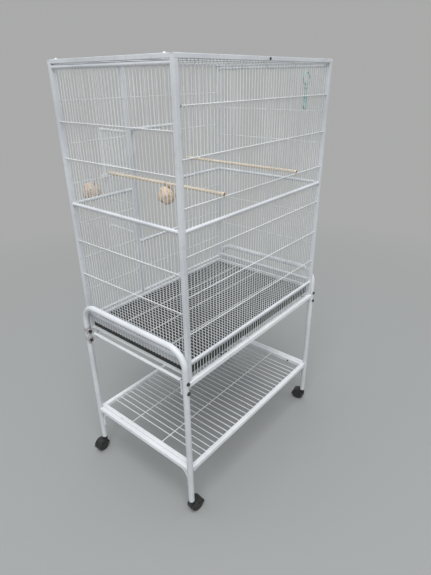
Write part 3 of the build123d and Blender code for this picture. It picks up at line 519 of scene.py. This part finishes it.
# Roof bars and screws. Two square bars close the ends of the roof, each held down by two coated screws.
# A dark screw sits in the middle of each long top bar.
# The roof bars take the posts' slightly darker coat, painted shade that keeps their lit tops from going to
# white.
dress(post_coat, "roof_bars")
dress(dark_steel, "rail_screws")
roof_wire_z, roof_bar_top = top_bar_z, 1356 * MM
roof_beads = bmesh.new()
for x in wire_places(-inner_x, inner_x):
    for y in (-inner_y, inner_y):
        nugget(roof_beads, (x, y, roof_wire_z), (0, 1, 0), bead_length, bead_radius)
piece("roof_wire_beads", roof_beads, wire_coat, "cage")

screws = bmesh.new()
screw_y = 200.65 * MM
screw_head = [
    (0, 4 * MM), (0.7 * MM, 3.9 * MM), (1.6 * MM, 3.3 * MM), (2.3 * MM, 2.3 * MM), (2.75 * MM, 1.2 * MM),
    (2.3 * MM, 0.9 * MM), (1.5 * MM, 0.6 * MM), (1.4 * MM, 0),
]
screw_shank = [(0, 2 * MM), (-6.6 * MM, 2 * MM), (-7 * MM, 1.4 * MM), (-7 * MM, 0)]
for x in (-half_width, half_width):
    for y in (-screw_y, screw_y):
        turned(screws, screw_head, (x, y, roof_bar_top), (0, 0, 1), (1, 0, 0), 24)
        turned(screws, screw_shank, (x, y, roof_bar_top), (0, 0, 1), (1, 0, 0), 12)
screw_piece = piece("roof_screw_set", screws, frame_coat, "cage")
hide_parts("roof_screws")

# Door, hinges and latch. A tube frame filled with the same wire, hung on two pins, stood open.
# A bolt with a handle pin slides in a plate on its free edge, into a block on the cage.
door_coat = powder_coat("door_coat", (0.75, 0.77, 0.79), (0.64, 0.66, 0.68))
dress(door_coat, "door_frame", "hinge_leaves", "hinge_pins", "latch_plate", "latch_keeper", "latch_bolt")
dress(wire_coat, "door_wires")
hinge = Vector((93.4 * MM, -238 * MM, 0))
door_angle = math.radians(86)
opened = Matrix.Translation(hinge) @ Matrix.Rotation(door_angle, 4, "Z") @ Matrix.Translation(-hinge)
door_beads = bmesh.new()
door_inside = (-95.15 * MM, 88.4 * MM)
door_bottom, door_top = 793.5 * MM, 1147.5 * MM
for x in wire_places(*door_inside):
    for z in (door_bottom + rail_radius, door_top - rail_radius):
        nugget(door_beads, (x, -half_depth, z), (0, 0, 1), bead_length, bead_radius)
for side, x in zip((-1, 1), door_inside):
    for z in (door_bottom, door_top):
        rail_weld(door_beads, (x, -half_depth, z), (side, 0, 0))
bmesh.ops.transform(door_beads, matrix=opened, verts=door_beads.verts)
piece("door_beads", door_beads, door_coat, "door")

# Runners, grate and tray. The grate is a flat-bar frame with close wires, coated like the cage.
# The tray under it is a black moulded pan, dusty from use.
# The grate runners' darker grey coat is partly painted shade on their web under the cage, partly dust.
runner_dust_and_shade_coat = powder_coat("runner_dust_and_shade_coat", (0.56, 0.57, 0.58), (0.48, 0.49, 0.5))
dress(runner_dust_and_shade_coat, "grate_runners")
# The tray runners take the paler coat too, painted light on a strip that lies in shade.
dress(painted_highlight_coat, "tray_runners")
dress(frame_coat, "grate_frame")
dress(wire_coat, "grate_wires")
grate_beads = bmesh.new()
grate_inner_x, grate_front, grate_back = 332.65 * MM, -216 * MM, 214 * MM
grate_wire_z = 572.5 * MM
for x in wire_places(-grate_inner_x, grate_inner_x):
    for y in (grate_front, grate_back):
        nugget(grate_beads, (x, y, grate_wire_z), (0, 1, 0), bead_length, bead_radius)
piece("grate_wire_beads", grate_beads, wire_coat, "grate")

tray_black, tree, shader, place = new_finish("tray_black")
pan_stops = [(0.3, (0.008, 0.008, 0.01)), (0.75, (0.02, 0.021, 0.024))]
pan_tone = graded(tree, mottle(tree, place, 9, 4), pan_stops)
dust = graded(tree, mottle(tree, place, 75, 9), [(0.58, 0.0), (0.82, 0.3)])
tree.links.new(over(tree, dust, pan_tone, (0.16, 0.15, 0.135)), shader.inputs["Base Color"])
tree.links.new(graded(tree, dust, [(0.0, 0.45), (0.3, 0.75)]), shader.inputs["Roughness"])
rough_skin(tree, shader, mottle(tree, place, 800, 3), 0.2, 0.0003)
dress(tray_black, "tray")

# Perches. Two bare turned dowels pushed between the wires, with their cut ends darker than their sides.
# The grain runs along them, with a few darker streaks.
perch_wood, tree, shader, place = new_finish("perch_wood")
grain = mottle(tree, stretch(tree, place, (1, 0.035, 1)), 420, 6)
tone = graded(tree, grain, [(0.3, (0.6, 0.47, 0.33)), (0.5, (0.76, 0.64, 0.49)), (0.72, (0.85, 0.76, 0.63))])
streaks = graded(tree, mottle(tree, stretch(tree, place, (1, 0.08, 1)), 150, 4), [(0.6, 0.0), (0.75, 0.55)])
tree.links.new(over(tree, streaks, tone, (0.5, 0.36, 0.22)), shader.inputs["Base Color"])
shader.inputs["Roughness"].default_value = 0.72
rough_skin(tree, shader, grain, 0.25, 0.0003)

end_grain, tree, shader, place = new_finish("perch_end_grain")
rings = graded(tree, mottle(tree, place, 500, 5), [(0.3, (0.3, 0.14, 0.05)), (0.7, (0.5, 0.27, 0.12))])
tree.links.new(rings, shader.inputs["Base Color"])
shader.inputs["Roughness"].default_value = 0.85

perch_places = {"left": -177.8 * MM, "right": 190.5 * MM}
perch_radius = 5 * MM
perch_height = 1034.5 * MM
perch_front, perch_back = -248 * MM, 231.5 * MM
perch_chamfer, chamfer_lip = 0.7 * MM, 0.05 * MM
lathe_marks, deepest_mark = 40, 0.16
dowel_lathe = random.Random(11)
for name, x in perch_places.items():
    dowel = bmesh.new()
    length = perch_back - perch_front
    shoulder_radius, rim_radius = perch_radius - chamfer_lip, perch_radius - perch_chamfer
    side = [(0, 0), (0, rim_radius), (perch_chamfer, shoulder_radius)]
    for cut in range(1, lathe_marks):
        side.append((length * cut / lathe_marks, perch_radius - dowel_lathe.uniform(0, deepest_mark) * MM))
    side += [(length - perch_chamfer, shoulder_radius), (length, rim_radius), (length, 0)]
    turned(dowel, side, (x, perch_front, perch_height), (0, 1, 0), (0, 0, 1), 28)
    perch = piece(f"dowel_{name}", dowel, perch_wood, "cage")
    perch.data.materials.append(end_grain)
    for face in perch.data.polygons:
        if abs(face.normal.y) > 0.7:
            face.material_index = 1
            face.use_smooth = False
    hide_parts(f"perch_{name}")

# Woven balls. Split plant strips woven over and under each other round an open ball, hung on a wire ring.
# One hangs on the right perch, and one outside the front panel, against its mid rail.
strip_fibre, tree, shader, place = new_finish("strip_fibre")
fibre = mottle(tree, place, 260, 7)
tone = graded(tree, fibre, [(0.28, (0.52, 0.37, 0.26)), (0.5, (0.76, 0.6, 0.46)), (0.75, (0.9, 0.78, 0.62))])
tree.links.new(tone, shader.inputs["Base Color"])
shader.inputs["Roughness"].default_value = 0.8
rough_skin(tree, shader, fibre, 0.5, 0.0006)

ring_wire = bare_metal("ring_wire", 400, [(0.3, (0.45, 0.45, 0.45)), (0.7, (0.68, 0.68, 0.67))], 0.35)


def woven_ball(bm, centre, radius):
    """Bands of strip round six axes through the ball, wavering over and under a lining of strip."""
    lining_depth, thickness, wave = 3 * MM, 1 * MM, 1.1 * MM
    half, step, edge_drop = 2.3 * MM, 5 * MM, 0.3 * MM
    lining = bmesh.ops.create_icosphere(bm, subdivisions=4, radius=radius - lining_depth)
    for vert in lining["verts"]:
        vert.co *= 1 + 0.012 * math.sin(900 * vert.co.x + 500 * vert.co.z) * math.cos(900 * vert.co.y)
    golden = (1 + math.sqrt(5)) / 2
    poles = [
        (0, 1, golden), (0, -1, golden), (1, golden, 0),
        (-1, golden, 0), (golden, 0, 1), (-golden, 0, 1),
    ]
    for pole in poles:
        axis = Vector(pole).normalized()
        across = axis.orthogonal().normalized()
        other = Vector(poles[1] if pole != poles[1] else poles[0]).normalized()
        crossing = axis.cross(other).normalized()
        for offset in (-step, 0, step):
            outer = math.sqrt((radius - wave) ** 2 - offset**2)
            section = [
                (offset - half, outer - thickness), (offset - half, outer - edge_drop),
                (offset - 0.6 * half, outer), (offset + 0.6 * half, outer),
                (offset + half, outer - edge_drop), (offset + half, outer - thickness),
                (offset - half, outer - thickness),
            ]
            before = set(bm.verts)
            turned(bm, section, (0, 0, 0), axis, across, 80)
            for vert in set(bm.verts) - before:
                flat = vert.co - axis * vert.co.dot(axis)
                around = math.atan2(axis.cross(crossing).dot(flat), crossing.dot(flat))
                vert.co += flat.normalized() * wave * math.cos(5 * around)
    bmesh.ops.translate(bm, verts=bm.verts, vec=centre)


def wire_ring(bm, centre, axis, radius, wire):
    """A closed ring of round wire."""
    turned(bm, round_section(wire, radius, 10), centre, axis, Vector(axis).orthogonal(), 32)


perch_ball_radius, front_ball_radius = 27.5 * MM, 30 * MM
weave_inset = 0.2 * MM
toy_wire = 1 * MM
ring_sag = Vector((0, 0, 0.3 * MM))
perch_ring_radius, perch_ball_drop = 6.6 * MM, 34.4 * MM
perch_ring_at = Vector((perch_places["right"], 16 * MM, perch_height))
perch_ball_at = perch_ring_at - Vector((0, 0, perch_ball_drop))
ball = bmesh.new()
woven_ball(ball, perch_ball_at, perch_ball_radius - weave_inset)
ball_piece = piece("woven_ball_perch", ball, strip_fibre, "perch_ball")
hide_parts("perch_ball")
ring = bmesh.new()
wire_ring(ring, perch_ring_at - ring_sag, (0, 1, 0), perch_ring_radius, toy_wire)
piece("woven_ball_perch_ring", ring, ring_wire, "perch_ball")

front_ball_x = 254 * MM
front_ring_at = Vector((front_ball_x, -229.55 * MM, 1028 * MM))
front_ball_at = Vector((front_ball_x, -262.3 * MM, 983 * MM))
front_ring_radius = 3.1 * MM
ball = bmesh.new()
woven_ball(ball, front_ball_at, front_ball_radius - weave_inset)
ball_piece = piece("woven_ball_front", ball, strip_fibre, "front_ball")
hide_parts("front_ball")
ring = bmesh.new()
wire_ring(ring, front_ring_at - ring_sag, (1, 0, 0), front_ring_radius, toy_wire)
slant = (front_ball_at - front_ring_at).normalized()
link_radius, link_sink = 1.2 * MM, 3 * MM
link_start = 3.4 * MM
link_end = (front_ball_at - front_ring_at).length - front_ball_radius + link_sink
link_shape = [(link_start, 0), (link_start, link_radius), (link_end, link_radius), (link_end, 0)]
turned(ring, link_shape, front_ring_at, slant, (1, 0, 0), 12)
piece("woven_ball_front_link", ring, ring_wire, "front_ball")

# Hanging charm. A teal plastic hoop with a bead and a ribbed drop threaded below it, on a roof wire.
# The plastic is glossy, with paler worn edges.
charm_teal, tree, shader, place = new_finish("charm_teal")
tone = graded(tree, mottle(tree, place, 90, 4), [(0.3, (0.16, 0.36, 0.36)), (0.7, (0.4, 0.62, 0.57))])
worn = graded(tree, mottle(tree, place, 240, 5), [(0.5, 0.0), (0.66, 0.75)])
tree.links.new(over(tree, worn, tone, (0.72, 0.8, 0.74)), shader.inputs["Base Color"])
shader.inputs["Roughness"].default_value = 0.25

charm_at = Vector((-285.75 * MM, 185 * MM, roof_wire_z))
hoop_radius, hoop_wire, hoop_drop = 18 * MM, 3 * MM, 47.9 * MM
hoop_at = charm_at - Vector((0, 0, hoop_drop))
hoop = bmesh.new()
wire_ring(hoop, hoop_at, (0, 1, 0), hoop_radius, hoop_wire)
bead_ball, bead_drop, bead_steps = 6 * MM, 27 * MM, 8
bead_profile = [(0, 0)]
for step in range(1, bead_steps):
    angle = math.pi * step / bead_steps
    bead_profile.append((bead_ball * (1 - math.cos(angle)), bead_ball * math.sin(angle)))
bead_profile.append((2 * bead_ball, 0))
bead_low = hoop_at.z - bead_drop - bead_ball
turned(hoop, bead_profile, (charm_at.x, charm_at.y, bead_low), (0, 0, 1), (1, 0, 0), 12)
drop_low = 1211.1 * MM
drop_profile = [
    (0, 0), (0.7 * MM, 3.4 * MM), (2.6 * MM, 6.3 * MM), (5.4 * MM, 8.3 * MM), (9 * MM, 9 * MM),
    (16 * MM, 8.2 * MM), (26 * MM, 6.6 * MM), (37 * MM, 4.8 * MM), (49 * MM, 2.9 * MM),
    (60 * MM, 1.9 * MM), (60 * MM, 0),
]
turned(hoop, drop_profile, (charm_at.x, charm_at.y, drop_low), (0, 0, 1), (1, 0, 0), 12)
charm = piece("charm_hoop_and_drop", hoop, charm_teal, "hanging_charm")
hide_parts("hanging_charm")
hanger = bmesh.new()
hanger_radius, hanger_rod, hanger_top = 2.6 * MM, 1.1 * MM, 1348.1 * MM
wire_ring(hanger, charm_at - ring_sag, (0, 1, 0), hanger_radius, toy_wire)
rod_length = hanger_top - hoop_at.z - hoop_radius
rod_profile = [(0, 0), (0, hanger_rod), (rod_length, hanger_rod), (rod_length, 0)]
turned(hanger, rod_profile, (charm_at.x, charm_at.y, hanger_top - rod_length), (0, 0, 1), (1, 0, 0), 12)
piece("charm_hanger", hanger, ring_wire, "hanging_charm")

# The studio. A plain pale floor runs out of sight, with soft light from above and from the camera's side.
# The camera looks down on the back right corner from a little below the height of the roof.
floor_half_side, fade_reach = 30, 6.0
floor_mesh = bmesh.new()
bmesh.ops.create_grid(floor_mesh, x_segments=1, y_segments=1, size=floor_half_side)
floor_data = bpy.data.meshes.new("floor")
floor_mesh.to_mesh(floor_data)
floor_mesh.free()
floor = bpy.data.objects.new("floor", floor_data)
bpy.context.scene.collection.objects.link(floor)
floor_paint, tree, shader, place = new_finish("floor_paint")
floor_tone = (0.4, 0.405, 0.4)
shader.inputs["Base Color"].default_value = (0.32, 0.325, 0.32, 1)
shader.inputs["Roughness"].default_value = 0.9
far_off = tree.nodes.new("ShaderNodeVectorMath")
far_off.operation = "LENGTH"
tree.links.new(place, far_off.inputs[0])
distance = combined(tree, "DIVIDE", far_off.outputs["Value"], fade_reach)
even = tree.nodes.new("ShaderNodeEmission")
even.inputs["Color"].default_value = (*floor_tone, 1)
fade = tree.nodes.new("ShaderNodeMixShader")
tree.links.new(graded(tree, distance, [(0.16, 0.0), (0.5, 1.0)]), fade.inputs["Fac"])
tree.links.new(shader.outputs["BSDF"], fade.inputs[1])
tree.links.new(even.outputs["Emission"], fade.inputs[2])
tree.links.new(fade.outputs["Shader"], tree.nodes["Material Output"].inputs["Surface"])
floor_data.materials.append(floor_paint)

world = bpy.data.worlds.new("studio")
bpy.context.scene.world = world
world.use_nodes = True
tree = world.node_tree
upward = tree.nodes.new("ShaderNodeSeparateXYZ")
tree.links.new(tree.nodes.new("ShaderNodeTexCoord").outputs["Generated"], upward.inputs[0])
sky_stops = [(0.0, (0.42, 0.43, 0.43)), (0.25, (0.47, 0.49, 0.51)), (1.0, (0.6, 0.63, 0.67))]
sky = graded(tree, upward.outputs["Z"], sky_stops)
rays = tree.nodes.new("ShaderNodeLightPath").outputs
seen = combined(tree, "MAXIMUM", rays["Is Camera Ray"], rays["Is Glossy Ray"])
seen = combined(tree, "MAXIMUM", seen, rays["Is Transmission Ray"])
tree.links.new(over(tree, seen, sky, floor_tone), tree.nodes["Background"].inputs["Color"])
tree.nodes["Background"].inputs["Strength"].default_value = 1.0

lamp_aim = Vector((0, 0, 0.7))
for name, at, size, power in (
    ("overhead_light", (0.6, -0.2, 14.0), 9.0, 540),
    ("camera_side_light", (2.6, 2.2, 5.8), 3.5, 235),
):
    lamp = bpy.data.lights.new(name, "AREA")
    lamp.size = size
    lamp.energy = power
    stand = bpy.data.objects.new(name, lamp)
    stand.location = at
    stand.rotation_euler = (lamp_aim - Vector(at)).to_track_quat("-Z", "Y").to_euler()
    bpy.context.scene.collection.objects.link(stand)

camera_at = (1.0708, 0.933, 1.3104)
lens_pixels, picture_height, sensor_height = 435.28, 575, 36
azimuth, pitch, roll = math.radians(129.877), math.radians(25.843), math.radians(-0.735)
ahead = Vector((-math.sin(azimuth) * math.cos(pitch), math.cos(azimuth) * math.cos(pitch), -math.sin(pitch)))
level = ahead.cross(Vector((0, 0, 1))).normalized()
upright = level.cross(ahead)
right = level * math.cos(roll) + upright * math.sin(roll)
up = upright * math.cos(roll) - level * math.sin(roll)
camera_data = bpy.data.cameras.new("camera")
camera_data.sensor_fit = "VERTICAL"
camera_data.sensor_height = sensor_height
camera_data.lens = sensor_height * lens_pixels / picture_height
camera = bpy.data.objects.new("camera", camera_data)
turn = Matrix((right, up, -ahead)).transposed().to_4x4()
camera.matrix_world = Matrix.Translation(camera_at) @ turn
bpy.context.scene.collection.objects.link(camera)
bpy.context.scene.camera = camera
bpy.context.scene.view_settings.view_transform = "Standard"
